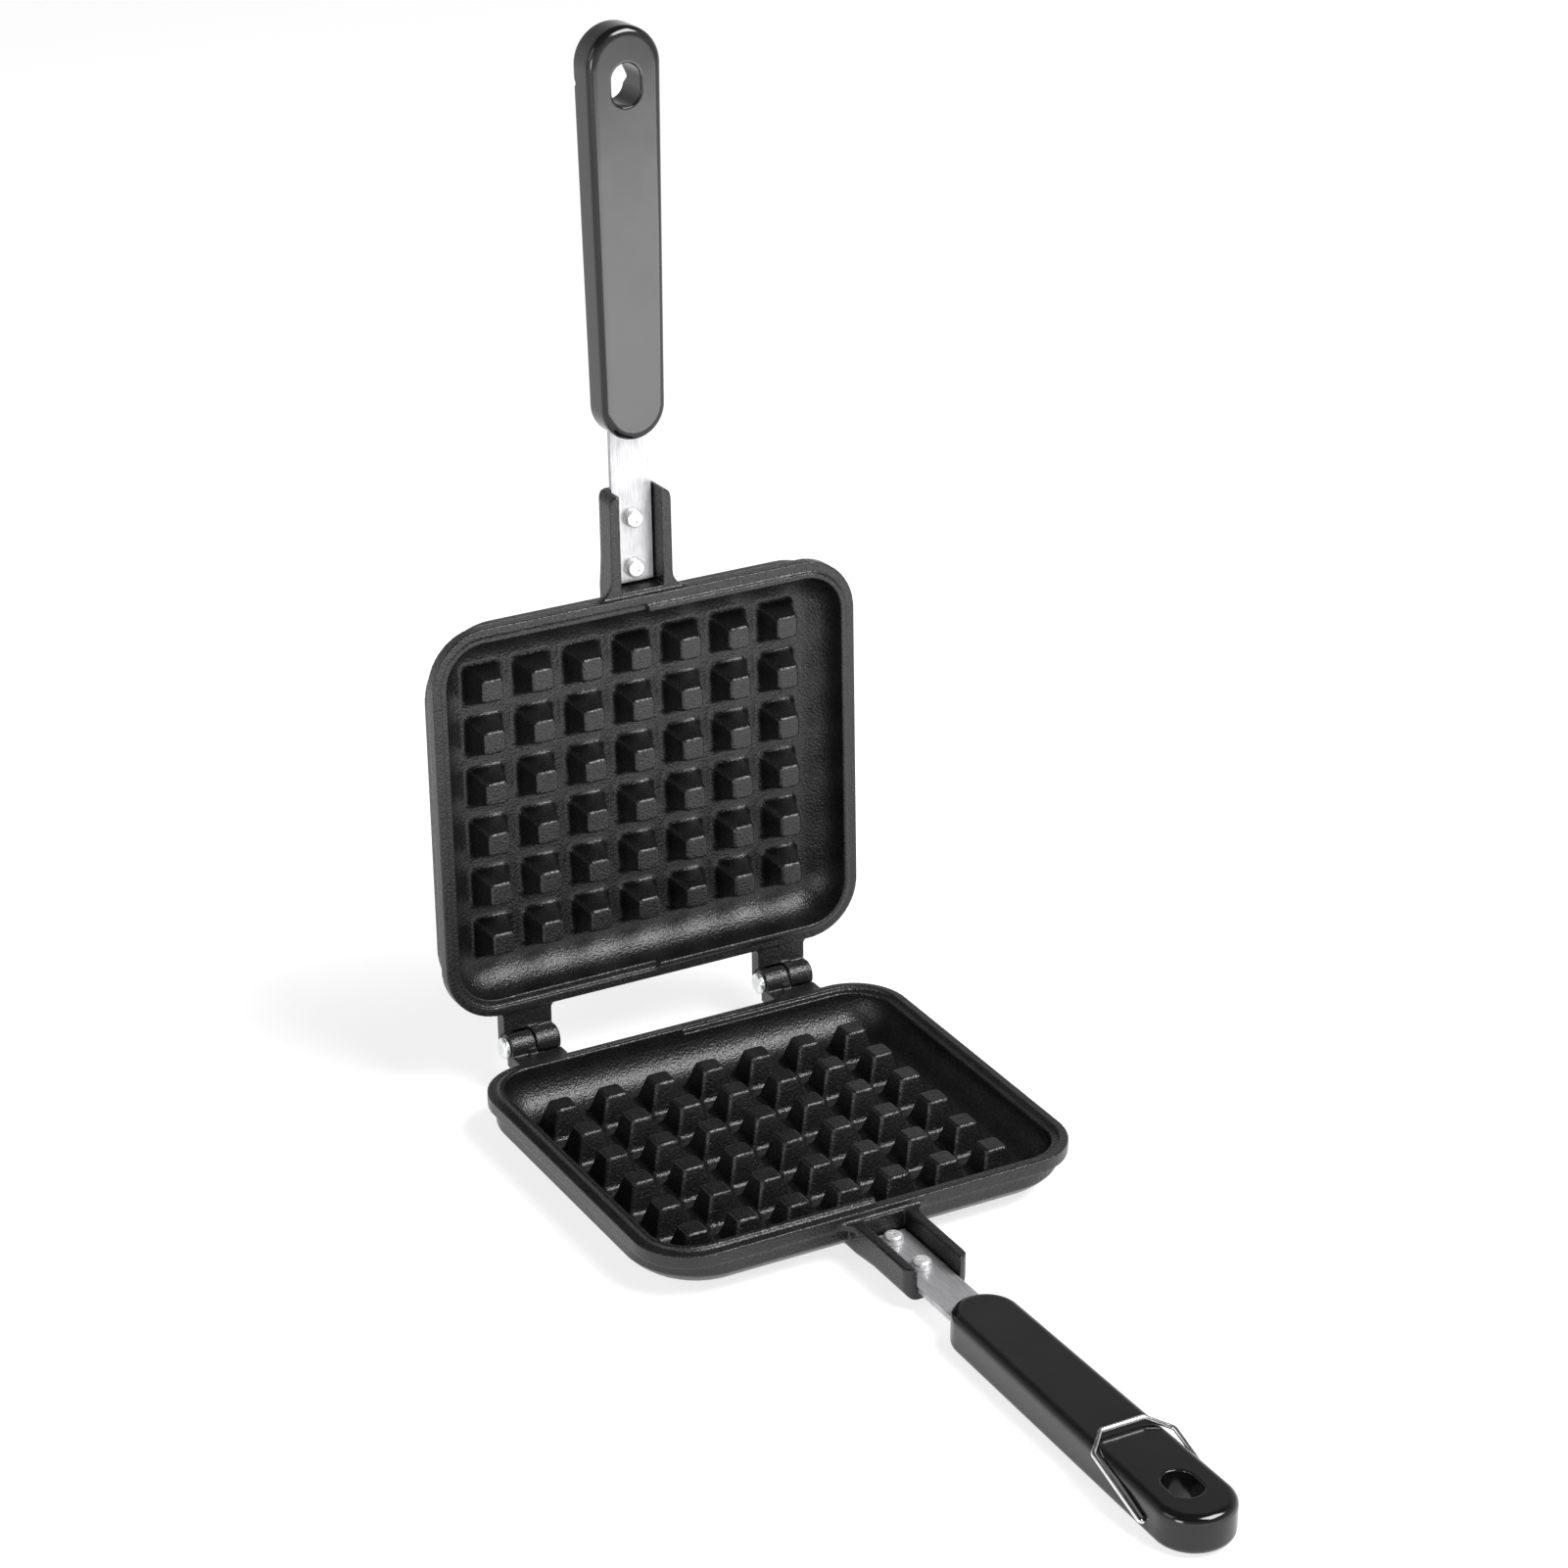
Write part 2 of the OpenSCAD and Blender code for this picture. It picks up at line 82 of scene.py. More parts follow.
def makeCamera():
    data = bpy.data.cameras.new("camera")
    data.sensor_width = cameraSetup["sensor"]
    data.sensor_fit = "HORIZONTAL"
    data.lens = cameraSetup["lens"]
    data.clip_start, data.clip_end = cameraSetup["clip"]
    cam = bpy.data.objects.new("camera", data)
    cam.location = cameraSetup["location"]
    cam.rotation_euler = Euler([math.radians(a) for a in cameraSetup["rotationDegrees"]])
    bpy.context.scene.collection.objects.link(cam)
    bpy.context.scene.camera = cam


makeCamera()


# materials
def newMaterial(name):
    mat = bpy.data.materials.new(name)
    mat.use_nodes = True
    tree = mat.node_tree
    shader = next(n for n in tree.nodes if n.type == "BSDF_PRINCIPLED")
    coords = tree.nodes.new("ShaderNodeTexCoord")
    return mat, tree, shader, coords


def addNoise(tree, coords, scale, detail, rough, stretch=(1, 1, 1)):
    mapping = tree.nodes.new("ShaderNodeMapping")
    mapping.inputs["Scale"].default_value = stretch
    noise = tree.nodes.new("ShaderNodeTexNoise")
    noise.inputs["Scale"].default_value = scale
    noise.inputs["Detail"].default_value = detail
    noise.inputs["Roughness"].default_value = rough
    tree.links.new(coords.outputs["Object"], mapping.inputs["Vector"])
    tree.links.new(mapping.outputs["Vector"], noise.inputs["Vector"])
    return noise


def addRamp(tree, source, low, high, lowAt=0.3, highAt=0.7):
    ramp = tree.nodes.new("ShaderNodeMapRange")
    ramp.inputs["From Min"].default_value = lowAt
    ramp.inputs["From Max"].default_value = highAt
    ramp.inputs["To Min"].default_value = low
    ramp.inputs["To Max"].default_value = high
    tree.links.new(source, ramp.inputs["Value"])
    return ramp


# from dark to light, at the two heights of the noise that the look gives
def addColours(tree, noise, look):
    ramp = tree.nodes.new("ShaderNodeValToRGB")
    stops = zip(ramp.color_ramp.elements, look["coloursAt"], (look["dark"], look["light"]))
    for element, at, colour in stops:
        element.position = at
        element.color = (*colour, 1)
    tree.links.new(noise.outputs["Fac"], ramp.inputs["Fac"])
    return ramp


def addBump(tree, noise, strength, depth, below=None):
    bump = tree.nodes.new("ShaderNodeBump")
    bump.inputs["Strength"].default_value = strength
    bump.inputs["Distance"].default_value = depth
    tree.links.new(noise.outputs["Fac"], bump.inputs["Height"])
    if below is not None:
        tree.links.new(below.outputs["Normal"], bump.inputs["Normal"])
    return bump


# colour from one noise, roughness from another, and the bumps on top
def dress(tree, shader, look, colourNoise, roughNoise, bump):
    colour = addColours(tree, colourNoise, look)
    rough = addRamp(tree, roughNoise.outputs["Fac"], *look["rough"])
    tree.links.new(colour.outputs["Color"], shader.inputs["Base Color"])
    tree.links.new(rough.outputs["Result"], shader.inputs["Roughness"])
    tree.links.new(bump.outputs["Normal"], shader.inputs["Normal"])


# In each look, rough is the smoothest and the roughest, a noise is its scale per metre,
# detail, roughness and stretch, and a bump is its strength and its depth in metres.
# The coating's grain is fine pebbles, with a few larger ones among them.
coatingLook = {
    "dark": (0.0026, 0.0026, 0.0028),
    "light": (0.006, 0.006, 0.0063),
    "coloursAt": (0.35, 0.68),
    "rough": (0.25, 0.39),
    "clouds": (60, 3, 0.6),
    "pebbles": (1150, 2, 0.55),
    "lumps": (420, 2, 0.5),
    "lumpBump": (0.35, 0.00007),
    "pebbleBump": (0.85, 0.00038),
}


def coatingMaterial():
    mat, tree, shader, coords = newMaterial("pebbledCoating")
    look = coatingLook
    pebbles = addNoise(tree, coords, *look["pebbles"])
    lumps = addNoise(tree, coords, *look["lumps"])
    clouds = addNoise(tree, coords, *look["clouds"])
    coarse = addBump(tree, lumps, *look["lumpBump"])
    fine = addBump(tree, pebbles, *look["pebbleBump"], coarse)
    dress(tree, shader, look, clouds, pebbles, fine)
    return mat


bakeliteLook = {
    "dark": (0.0028, 0.0027, 0.0028),
    "light": (0.0048, 0.0046, 0.0047),
    "coloursAt": (0.3, 0.75),
    "rough": (0.1, 0.18),
    "clouds": (45, 4, 0.6),
    "grain": (2200, 2, 0.5),
    "waves": (28, 1, 0.4),
    "grainBump": (0.06, 0.00002),
    "waveBump": (0.12, 0.0004),
}


def bakeliteMaterial():
    mat, tree, shader, coords = newMaterial("blackBakelite")
    look = bakeliteLook
    clouds = addNoise(tree, coords, *look["clouds"])
    grain = addNoise(tree, coords, *look["grain"])
    waves = addNoise(tree, coords, *look["waves"])
    fine = addBump(tree, grain, *look["grainBump"])
    slow = addBump(tree, waves, *look["waveBump"], fine)
    dress(tree, shader, look, clouds, clouds, slow)
    return mat


strapLook = {
    "dark": (0.33, 0.33, 0.34),
    "light": (0.46, 0.46, 0.47),
    "coloursAt": (0.35, 0.62),
    "rough": (0.3, 0.48),
    "metal": 0.62,
    "lines": (400, 3, 0.6, (7, 0.4, 0.4)),
    "stain": (70, 3, 0.6),
    "speckles": (900, 3, 0.7),
    "lineBump": (0.12, 0.00003),
    "speckleBump": (0.3, 0.0001),
}


def strapMaterial():
    mat, tree, shader, coords = newMaterial("brushedStrap")
    look = strapLook
    lines = addNoise(tree, coords, *look["lines"])
    stain = addNoise(tree, coords, *look["stain"])
    speckles = addNoise(tree, coords, *look["speckles"])
    brushed = addBump(tree, lines, *look["lineBump"])
    pitted = addBump(tree, speckles, *look["speckleBump"], brushed)
    dress(tree, shader, look, lines, stain, pitted)
    shader.inputs["Metallic"].default_value = look["metal"]
    return mat


brightLook = {
    "screws": {
        "dark": (0.8, 0.8, 0.81),
        "light": (0.93, 0.93, 0.93),
        "rough": (0.24, 0.32),
        "spots": (300, 3, 0.6),
        "metal": 0.7,
    },
    "pins": {
        "dark": (0.72, 0.73, 0.74),
        "light": (0.88, 0.88, 0.89),
        "rough": (0.14, 0.26),
        "spots": (350, 3, 0.6),
        "metal": 0.85,
    },
    "wire": {
        "dark": (0.6, 0.61, 0.62),
        "light": (0.82, 0.82, 0.83),
        "rough": (0.1, 0.22),
        "spots": (600, 3, 0.6),
        "metal": 1,
    },
}
# the same for all three kinds
brightFinish = {"coloursAt": (0.3, 0.7), "scuffBump": (0.02, 0.00002)}


def brightMaterial(kind):
    mat, tree, shader, coords = newMaterial("bright" + kind.capitalize())
    look = {**brightFinish, **brightLook[kind]}
    spots = addNoise(tree, coords, *look["spots"])
    scuff = addBump(tree, spots, *look["scuffBump"])
    dress(tree, shader, look, spots, spots, scuff)
    shader.inputs["Metallic"].default_value = look["metal"]
    return mat


coating = coatingMaterial()
bakelite = bakeliteMaterial()
strapSteel = strapMaterial()
screwSteel = brightMaterial("screws")
pinSteel = brightMaterial("pins")
wireSteel = brightMaterial("wire")
print("materials made")


# helpers for pieces
def addObject(name, mesh, mat, matrix=None):
    if matrix is not None:
        mesh.transform(matrix)
    mesh.materials.clear()
    mesh.materials.append(mat)
    obj = bpy.data.objects.new(name, mesh)
    bpy.context.scene.collection.objects.link(obj)
    return obj


def applyModifiers(obj):
    depsgraph = bpy.context.evaluated_depsgraph_get()
    mesh = bpy.data.meshes.new_from_object(obj.evaluated_get(depsgraph))
    old = obj.data
    obj.modifiers.clear()
    obj.data = mesh
    bpy.data.meshes.remove(old)


def smoothShade(mesh, degrees=180):
    for polygon in mesh.polygons:
        polygon.use_smooth = True
    if degrees < 180:
        mesh.set_sharp_from_angle(angle=math.radians(degrees))


# a small bevel, width in mm, on every edge sharper than the angle
def softenEdges(obj, width, segments, degrees):
    bevel = obj.modifiers.new("softEdges", "BEVEL")
    bevel.width = width * mm
    bevel.segments = segments
    bevel.limit_method = "ANGLE"
    bevel.angle_limit = math.radians(degrees)


def cutWith(obj, cutters):
    for cutter in cutters:
        mod = obj.modifiers.new("cut", "BOOLEAN")
        mod.operation = "DIFFERENCE"
        mod.solver = "EXACT"
        mod.object = cutter
    applyModifiers(obj)
    for cutter in cutters:
        bpy.data.objects.remove(cutter)


def finishPiece(obj, node, body):
    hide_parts(node)
    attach(obj, body)


# rings of equal length, joined into a closed skin
def skinRings(rings, closed):
    bm = bmesh.new()
    loops = [[bm.verts.new(p) for p in ring] for ring in rings]
    pairs = list(zip(loops, loops[1:]))
    if closed:
        pairs.append((loops[-1], loops[0]))
    for a, b in pairs:
        for i in range(len(a)):
            j = (i + 1) % len(a)
            bm.faces.new((a[i], a[j], b[j], b[i]))
    if not closed:
        bm.faces.new(list(reversed(loops[0])))
        bm.faces.new(loops[-1])
    bmesh.ops.recalc_face_normals(bm, faces=bm.faces)
    mesh = bpy.data.meshes.new("skin")
    bm.to_mesh(mesh)
    bm.free()
    return mesh


# a profile of radius and height, mm, turned about Z
def turned(points, sides=64):
    angles = [2 * math.pi * k / sides for k in range(sides)]
    rings = [[Vector((r * math.cos(a), r * math.sin(a), z)) * mm for a in angles]
             for r, z in points]
    return skinRings(rings, False)


# pan halves
castingSoftness = {
    "voxel": 0.42,
    "quickFactor": 2,
    "smoothing": 0.5,
    "passes": 2,
    "socketTip": 3.7,
    # the stretch of the socket that its width and depth are read from
    "tipLength": 12,
    # how far in from the tip, and how round the long lower corners are there
    "socketKeel": [(-1, 4.2), (24, 4.0), (30, 3.0), (36, 1.8)],
}


# a bar that rounds off a corner at the origin to the radius r, seen along the bar
def cornerProfile(r, side, steps=10, spare=1):
    angles = [math.pi / 2 * k / steps for k in range(steps + 1)]
    arc = [(r * (math.sin(a) - 1), r * (1 - math.cos(a))) for a in angles]
    outside = [(spare, r), (spare, -spare), (-r, -spare)]
    return [(side * x, y) for x, y in arc + outside]


# the socket's outer corners, rounder than the solid's: upright at its tip, long ones below
def roundSocket(obj):
    c = castingSoftness
    end = min(v.co.y for v in obj.data.vertices) / mm
    tip = [v.co / mm for v in obj.data.vertices if v.co.y / mm < end + c["tipLength"]]
    half = max(p.x for p in tip)
    under = min(p.z for p in tip)
    below, above = 2, 1
    cutters = []
    for side in (-1, 1):
        upright = [[Vector((side * half + x, end + y, z)) * mm
                    for x, y in cornerProfile(c["socketTip"], side)]
                   for z in (under - below, place["panHeight"] + above)]
        keel = [[Vector((side * half + x, end + along, under + z)) * mm
                 for x, z in cornerProfile(r, side)]
                for along, r in c["socketKeel"]]
        cutters.append(addObject("tipCorner", skinRings(upright, False), coating))
        cutters.append(addObject("keelCorner", skinRings(keel, False), coating))
    cutWith(obj, cutters)


# the casting's edges and corners are soft, as a coated die casting's are
def softCasting():
    c = castingSoftness
    mesh = nodes["lower_pan"].data.copy()
    obj = addObject("lowerPanCasting", mesh, coating)
    roundSocket(obj)
    remesh = obj.modifiers.new("remesh", "REMESH")
    remesh.mode = "VOXEL"
    remesh.voxel_size = c["voxel"] * mm * 1
    soften = obj.modifiers.new("soften", "SMOOTH")
    soften.factor = c["smoothing"]
    soften.iterations = c["passes"]
    applyModifiers(obj)
    smoothShade(obj.data)
    obj.data.materials.clear()
    obj.data.materials.append(coating)
    return obj


lowerPan = softCasting()
upperPan = addObject("upperPanCasting", lowerPan.data.copy(), coating,
                     upperPlace() @ lowerPlace().inverted())
smoothShade(upperPan.data)
finishPiece(lowerPan, "lower_pan", "lower")
finishPiece(upperPan, "upper_pan", "upper")
print("pan halves made:", len(lowerPan.data.polygons), "faces each")


# grips, in mm from the parting plane
gripShape = {
    "nearY": -132.0,
    "farY": -280.0,
    "nearRadius": 12.2,
    "farRadius": 14.1,
    "inner": -3.6,
    "outer": -17.6,
    "edge": 3.0,
    # how far the flat faces' last rings stand in from the edges
    "faceInset": 0.5,
    "holeInset": 0.4,
    "holeWidth": 11.2,
    "holeLength": 15.2,
    "holeY": -259.7,
    "holeEdge": 0.6,
    "pivotY": -260.0,
    "pivotZ": -12.7,
    "pivotWidth": 1.9,
    # the boring tool reaches this far each way from 1 mm inside the grip's side
    "pivotReach": 4,
    "pivotInset": 1,
    "pivotSides": 32,
    "notchWidth": 6.6,
    "notchDepth": 3.2,
    "notchFlat": 0.5,
    "notchFlare": 0.6,
    "notchReach": 20,
    "sharpDegrees": 32,
}
# points along each round end, along each side, round the outer edges and round the hole's
arcPoints = 40
sidePoints = 14
edgeSteps = 9
holeSteps = 4


# outline of the grip seen from above, pulled in by inset
def gripOutline(inset, z):
    g = gripShape
    near = Vector((0, g["nearY"] - g["nearRadius"], 0))
    far = Vector((0, g["farY"] + g["farRadius"], 0))
    lean = math.asin((g["farRadius"] - g["nearRadius"]) / (near - far).length)

    def arc(centre, radius, start, sweep):
        angles = [start + sweep * k / arcPoints for k in range(arcPoints + 1)]
        return [centre + Vector((radius * math.cos(a), radius * math.sin(a), 0)) for a in angles]

    farArc = arc(far, g["farRadius"] - inset, math.pi - lean, math.pi + 2 * lean)
    nearArc = arc(near, g["nearRadius"] - inset, lean, math.pi - 2 * lean)
    shares = [k / sidePoints for k in range(1, sidePoints)]
    points = farArc + [farArc[-1].lerp(nearArc[0], share) for share in shares]
    points += nearArc + [nearArc[-1].lerp(farArc[0], share) for share in shares]
    return [Vector((p.x, p.y, z)) * mm for p in points]


# the hanging hole's outline, with one point for each point of the grip's outline
def holeOutline(outset, z):
    g = gripShape
    half = (g["holeLength"] - g["holeWidth"]) / 2
    r = g["holeWidth"] / 2 + outset
    count = 2 * (arcPoints + 1) + 2 * (sidePoints - 1)
    straight = 2 * half
    total = 2 * math.pi * r + 2 * straight
    points = []
    # equal steps round the outline, from the left end of the far arc
    for k in range(count):
        s = total * k / count
        if s < math.pi * r:
            a = math.pi + s / r
            x, y = r * math.cos(a), -half + r * math.sin(a)
        elif s < math.pi * r + straight:
            x, y = r, -half + s - math.pi * r
        elif s < 2 * math.pi * r + straight:
            a = (s - math.pi * r - straight) / r
            x, y = r * math.cos(a), half + r * math.sin(a)
        else:
            x, y = -r, half - (s - 2 * math.pi * r - straight)
        points.append(Vector((x, y + g["holeY"], z)) * mm)
    return points


# rings round an edge, from the face into the piece or, when leaving, back out to the face
def edgeRings(outline, radius, face, inward, steps, leaving=False):
    rings = []
    for k in range(steps + 1):
        a = math.pi / 2 * k / steps
        across, along = math.sin(a), math.cos(a)
        if leaving:
            across, along = along, across
        rings.append(outline(radius * (1 - across), face + inward * radius * (1 - along)))
    return rings


def gripMesh():
    g = gripShape
    edge, hole, inner, outer = g["edge"], g["holeEdge"], g["inner"], g["outer"]
    face, rim = edge + g["faceInset"], hole + g["holeInset"]
    rings = [gripOutline(face, inner)]
    rings += edgeRings(gripOutline, edge, inner, -1, edgeSteps)
    rings += [gripOutline(0, inner - edge + (outer - inner + 2 * edge) * k / 4)
              for k in range(1, 4)]
    rings += edgeRings(gripOutline, edge, outer, 1, edgeSteps, True)
    rings.append(gripOutline(face, outer))
    rings.append(holeOutline(rim, outer))
    rings += edgeRings(holeOutline, hole, outer, 1, holeSteps)
    rings += edgeRings(holeOutline, hole, inner, -1, holeSteps, True)
    rings.append(holeOutline(rim, inner))
    return skinRings(rings, True)


# blind holes for the bail's ends, one in each side of the lower grip
def pivotCutters():
    g = gripShape
    cutters = []
    for side in (-1, 1):
        bore = turned([(g["pivotWidth"] / 2, -g["pivotReach"]),
                       (g["pivotWidth"] / 2, g["pivotReach"])], g["pivotSides"])
        spot = shift(side * (g["farRadius"] - g["pivotInset"]), g["pivotY"], g["pivotZ"])
        cutters.append(addObject("bore", bore, bakelite, spot @ turn(90, "Y")))
    return cutters


# the notch for the wire, across the outer face of the upper grip
def notchCutters():
    g = gripShape
    w, d, flat, flare = g["notchWidth"] / 2, g["notchDepth"], g["notchFlat"], g["notchFlare"]
    section = [(-w - flare, -flare), (-flat, d), (flat, d), (w + flare, -flare)]
    rings = [[Vector((x, g["pivotY"] + y, g["outer"] + z)) * mm for y, z in section]
             for x in (-g["notchReach"], g["notchReach"])]
    return [addObject("notch", skinRings(rings, False), bakelite)]


def makeGrip(name, cutters, placing):
    obj = addObject(name, gripMesh(), bakelite)
    cutWith(obj, cutters())
    obj.data.transform(placing)
    smoothShade(obj.data, gripShape["sharpDegrees"])
    weight = obj.modifiers.new("normals", "WEIGHTED_NORMAL")
    weight.keep_sharp = True
    return obj


lowerGrip = makeGrip("lowerGrip", pivotCutters, lowerPlace())
upperGrip = makeGrip("upperGrip", notchCutters, upperPlace())
finishPiece(lowerGrip, "lower_grip", "lower")
finishPiece(upperGrip, "upper_grip", "upper")
print("grips made")

# straps
strapEdge = {"width": 0.35, "segments": 3, "degrees": 50}
for name in ("lower_strap", "upper_strap"):
    obj = nodes[name]
    if not obj.material_slots:
        obj.data.materials.append(strapSteel)
    for materialSlot in obj.material_slots:
        materialSlot.material = strapSteel
    softenEdges(obj, **strapEdge)
print("straps dressed")

# screws
screwShape = {
    "level": -9.6,
    "firstY": -83.0,
    "pitch": 18.8,
    "headRadius": 3.6,
    "headHeight": 3.3,
    # where the dome starts, as a share of the height, and its flat top, of the radius
    "shoulder": 0.45,
    "crown": 0.62,
    "shankRadius": 2.0,
    "shankLength": 4.4,
    "slotWidth": 0.95,
    "slotLength": 4.0,
    "slotDepth": 1.4,
    # the slots' length at the bottom, as a share of that at the top
    "slotTaper": 0.6,
    "sides": 48,
    "sharpDegrees": 35,
    # how each screw was left turned: the first, the next and the upper half's more
    "turns": (17, 31, 9),
}
screwEdge = {"width": 0.08, "segments": 2, "degrees": 40}


def screwMesh():
    s = screwShape
    r, h, shoulder, crown = s["headRadius"], s["headHeight"], s["shoulder"], s["crown"]
    shank, length = s["shankRadius"], s["shankLength"]
    points = [(shank - 0.4, -length), (shank, -length + 0.4), (shank, 0),
              (r - 0.15, 0), (r, 0.15), (r, h * shoulder)]
    for k in range(1, 9):
        a = math.pi / 2 * k / 8
        points.append((r * crown + r * (1 - crown) * math.cos(a),
                       h * shoulder + h * 0.5 * math.sin(a)))
    points += [(r * 0.4, h * 0.985), (r * 0.2, h)]
    return turned(points, s["sides"])


# two crossed slots, narrower and shorter at the bottom
def crossCutters(matrix):
    s = screwShape
    top = s["headHeight"] + 0.5
    low = s["headHeight"] - s["slotDepth"]
    cutters = []
    for degrees in (45, 135):
        rings = []
        for z, shrink in ((low, s["slotTaper"]), (top, 1.0)):
            wide = s["slotWidth"] / 2 * (0.75 + 0.25 * shrink)
            far = s["slotLength"] / 2 * shrink
            corners = ((-far, -wide), (far, -wide), (far, wide), (-far, wide))
            rings.append([Vector((x, y, z)) * mm for x, y in corners])
        cutters.append(addObject("slot", skinRings(rings, False), screwSteel,
                                 matrix @ turn(degrees, "Z")))
    return cutters


def makeScrew(name, node, index, body, placing):
    s = screwShape
    first, more, upperMore = s["turns"]
    degrees = first + more * index + (upperMore if body == "upper" else 0)
    turning = turn(degrees, "Z")
    obj = addObject(name, screwMesh(), screwSteel, turning)
    cutWith(obj, crossCutters(turning))
    obj.data.transform(placing @ shift(0, s["firstY"] - index * s["pitch"], s["level"]))
    smoothShade(obj.data, s["sharpDegrees"])
    softenEdges(obj, **screwEdge)
    finishPiece(obj, node, body)


for body, placing in (("lower", lowerPlace()), ("upper", upperPlace())):
    for index, end in enumerate(("inner", "outer")):
        makeScrew(body + "Screw" + end.capitalize(), body + "_screw_" + end,
                  index, body, placing)
print("screws made")

# hinge pins
pinShape = {
    "headRadius": 4.0,
    "headHeight": 2.4,
    # the domed face: share of the head's radius, and mm behind the face
    "dome": [(0.35, 0.04), (0.62, 0.16), (0.82, 0.4), (0.95, 0.72), (1, 1.2)],
    "radius": 2.0,
    "length": 19.3,
    "hingeX": 52.9,
    "hingeWidth": 19.5,
    "headGap": 0.3,
    "sharpDegrees": 50,
}


def pinMesh():
    p = pinShape
    r, h, shank = p["headRadius"], p["headHeight"], p["radius"]
    end = h + p["length"]
    points = [(0.05, 0)] + [(r * share, z) for share, z in p["dome"]]
    points += [(r, h - 0.25), (r - 0.2, h), (shank, h)]
    points += [(shank, end - 0.4), (shank - 0.3, end), (0.05, end)]
    return turned(points)


# each pin has its head on the left of its hinge
for side, name in ((-1, "left"), (1, "right")):
    p = pinShape
    x0 = side * p["hingeX"] - p["hingeWidth"] / 2 - p["headGap"] - p["headHeight"]
    spot = shift(x0, place["hingeY"], place["panHeight"]) @ turn(90, "Y")
    pin = addObject("hingePin" + name.capitalize(), pinMesh(), pinSteel, spot)
    smoothShade(pin.data, p["sharpDegrees"])
    finishPiece(pin, "hinge_pin_" + name, "upper")
print("hinge pins made")

# wire bail, as it lies flat before its tilt
bailShape = {
    "wire": 1.7,
    "sides": 20,
    "pivotY": gripShape["pivotY"],
    "pivotZ": 5.7,
    "inner": 9.5,
    "leg": 15.35,
    "reach": 36.6,
    "slant": 7.6,
    "half": 8.2,
    "bend": 2.25,
    "pivotBend": 1.35,
    "tiltDegrees": 17.74,
    "sharpDegrees": 60,
}


# round the corners of a path with arcs
def roundedPath(points, radii, steps=9):
    out = [points[0]]
    for before, corner, after, radius in zip(points, points[1:], points[2:], radii):
        a = (before - corner).normalized()
        b = (after - corner).normalized()
        half = a.angle(b) / 2
        reach = radius / math.tan(half)
        centre = corner + (a + b).normalized() * (radius / math.sin(half))
        start = (corner + a * reach - centre).normalized()
        end = (corner + b * reach - centre).normalized()
        out += [centre + start.slerp(end, k / steps) * radius for k in range(steps + 1)]
    out.append(points[-1])
    return out


def makeBail():
    b = bailShape
    side = [(b["inner"], 0), (b["leg"], 0),
            (b["leg"], b["reach"] - b["slant"]), (b["half"], b["reach"])]
    corners = [Vector((x, y, 0)) for x, y in side + [(-x, y) for x, y in reversed(side)]]
    path = roundedPath(corners, [b["pivotBend"]] + [b["bend"]] * 4 + [b["pivotBend"]])
    angles = [2 * math.pi * i / b["sides"] for i in range(b["sides"])]
    up = Vector((0, 0, 1))
    r = b["wire"] / 2
    rings = []
    for k, p in enumerate(path):
        ahead = (path[min(k + 1, len(path) - 1)] - path[max(k - 1, 0)]).normalized()
        across = ahead.cross(up)
        rings.append([(p + across * r * math.cos(a) + up * r * math.sin(a)) * mm
                      for a in angles])
    spot = shift(0, b["pivotY"], b["pivotZ"]) @ turn(b["tiltDegrees"], "X")
    bail = addObject("wireBail", skinRings(rings, False), wireSteel, spot)
    smoothShade(bail.data, b["sharpDegrees"])
    finishPiece(bail, "wire_bail", "bail")


makeBail()
print("bail made")

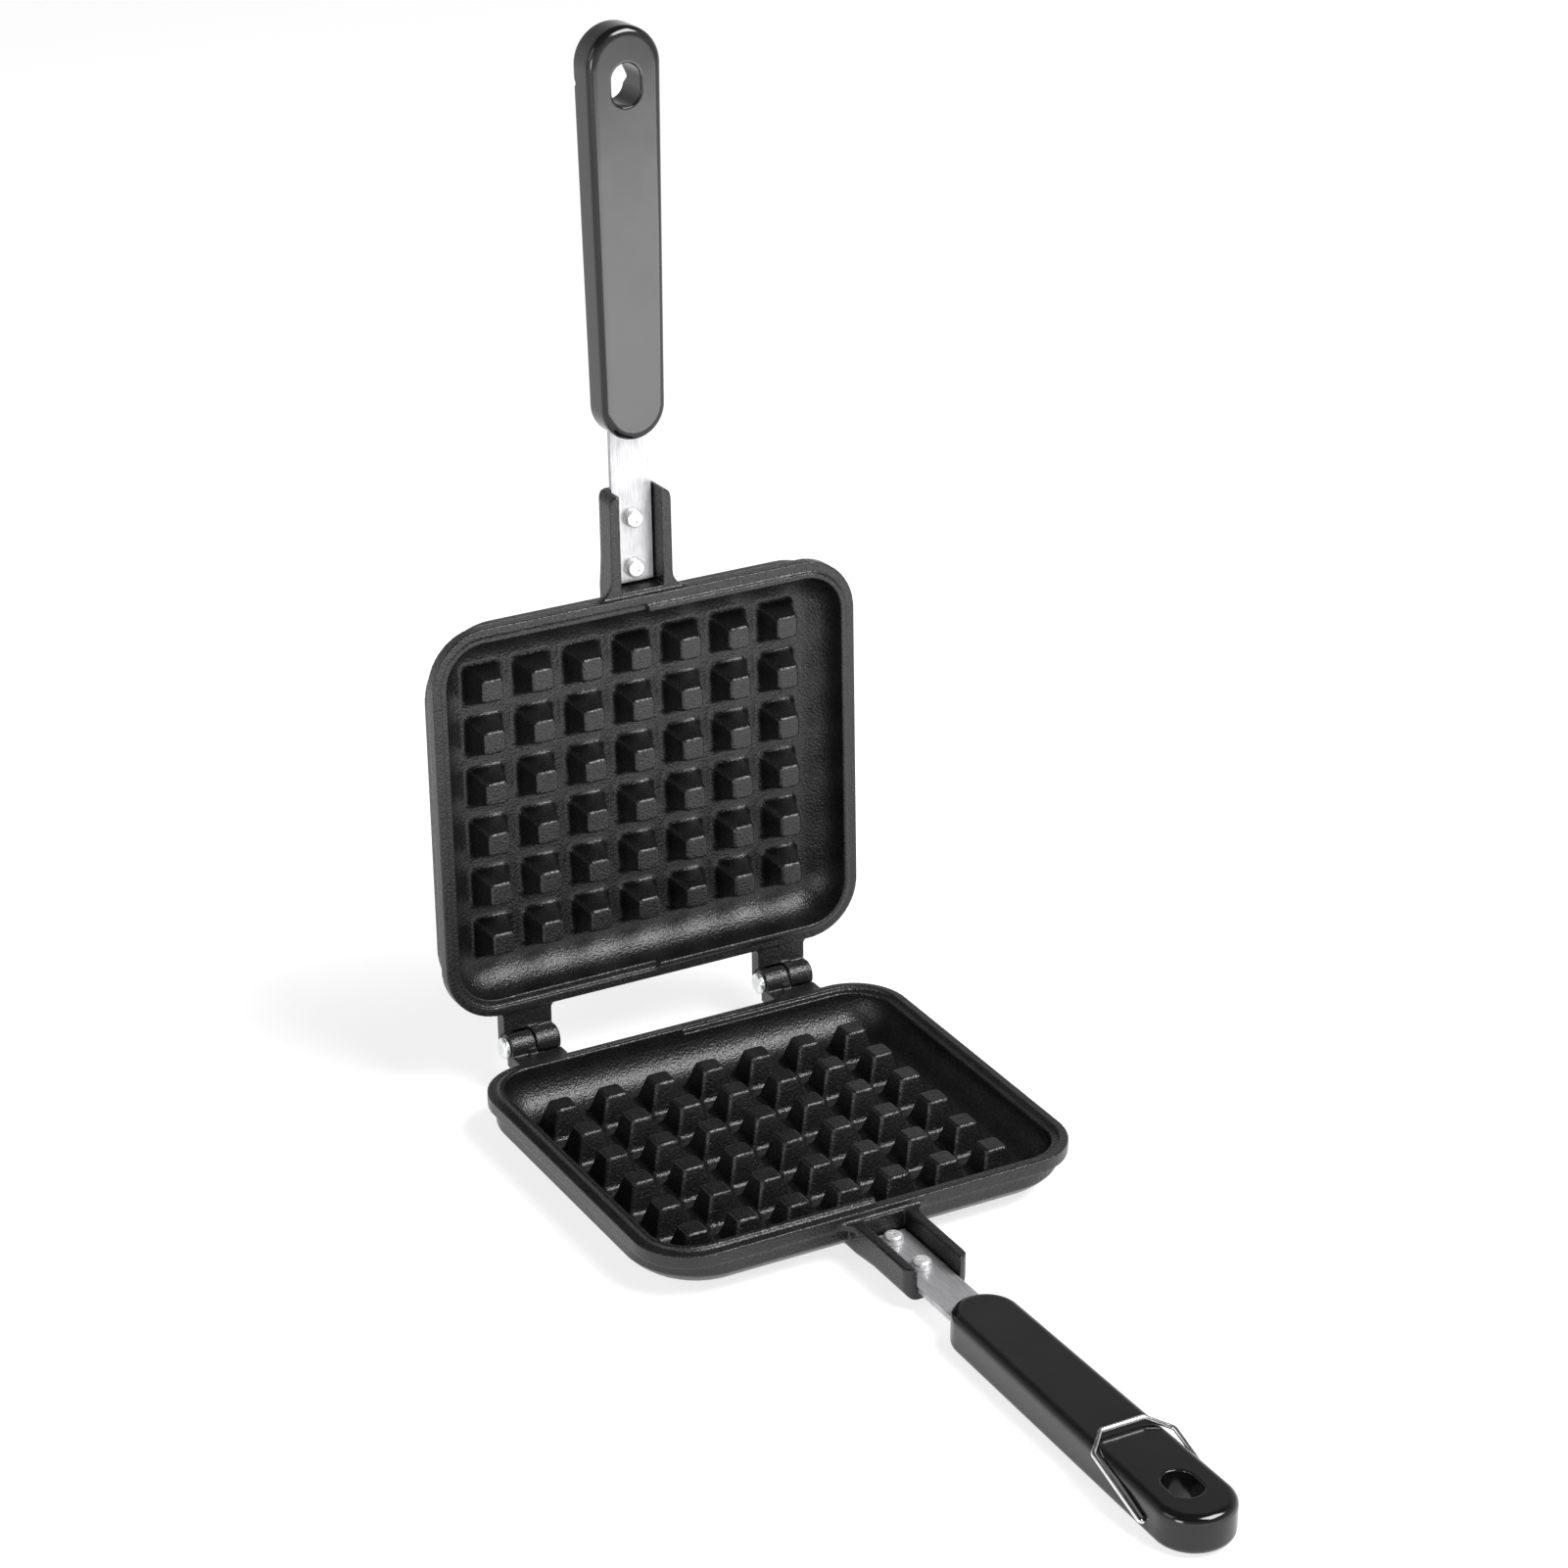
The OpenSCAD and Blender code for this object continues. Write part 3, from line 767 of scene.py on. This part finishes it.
# floor and light
# The room is pale at the horizon and dark above. A lit panel on the floor ahead of the
# picture, a soft box overhead and a low strip on the left give the dark parts their
# bright faces and edges.
studio = {
    "floorSize": 4,
    "floorDrop": 0.0002,
    "floorColour": 0.4,
    "floorRough": 0.9,
    "floorGlow": 0.74,
    "horizon": 0.85,
    "ceiling": 0.1,
    "horizonUpTo": 0.1,
    "ceilingFrom": 0.72,
    "lamps": [
        # name, place, aim, size, radiance
        ("overhead", (0.62, -0.8, 1.45), (0, 0, 0.08), (1.1, 0.8), 17),
        ("leftWindow", (-1.7, 0.1, 1.1), (0, 0, 0.1), (0.9, 0.9), 1.6),
        ("leftStrip", (-1.5, -0.9, 0.42), (0, 0, 0.08), (0.5, 0.6), 9),
        ("frontPanel", (0.25, -0.98, 0.004), (0.25, -0.98, 1), (1.5, 1.0), 4.6),
    ],
}


def makeWorld():
    world = bpy.data.worlds.new("studio")
    world.use_nodes = True
    tree = world.node_tree
    background = tree.nodes["Background"]
    background.inputs["Color"].default_value = (1, 1, 1, 1)
    coords = tree.nodes.new("ShaderNodeTexCoord")
    split = tree.nodes.new("ShaderNodeSeparateXYZ")
    tree.links.new(coords.outputs["Generated"], split.inputs["Vector"])
    fade = addRamp(tree, split.outputs["Z"], studio["horizon"], studio["ceiling"],
                   studio["horizonUpTo"], studio["ceilingFrom"])
    tree.links.new(fade.outputs["Result"], background.inputs["Strength"])
    bpy.context.scene.world = world


def makeFloor():
    mesh = bpy.data.meshes.new("floor")
    bm = bmesh.new()
    bmesh.ops.create_grid(bm, x_segments=2, y_segments=2, size=studio["floorSize"])
    bm.to_mesh(mesh)
    bm.free()
    mat, _, shader, _ = newMaterial("floorPaper")
    shade = studio["floorColour"]
    shader.inputs["Roughness"].default_value = studio["floorRough"]
    shader.inputs["Base Color"].default_value = (shade, shade, shade, 1)
    shader.inputs["Emission Color"].default_value = (1, 1, 1, 1)
    shader.inputs["Emission Strength"].default_value = studio["floorGlow"]
    floor = addObject("floor", mesh, mat)
    floor.location.z = -studio["floorDrop"]


def makeLamps():
    for name, spot, aim, size, radiance in studio["lamps"]:
        data = bpy.data.lights.new(name, "AREA")
        data.shape = "RECTANGLE"
        data.size, data.size_y = size
        data.energy = radiance * math.pi * size[0] * size[1]
        lamp = bpy.data.objects.new(name, data)
        lamp.location = spot
        lamp.rotation_euler = (Vector(aim) - Vector(spot)).to_track_quat("-Z", "Y").to_euler()
        bpy.context.scene.collection.objects.link(lamp)


makeWorld()
makeFloor()
makeLamps()
bpy.context.scene.view_settings.view_transform = "Standard"
print("studio made")
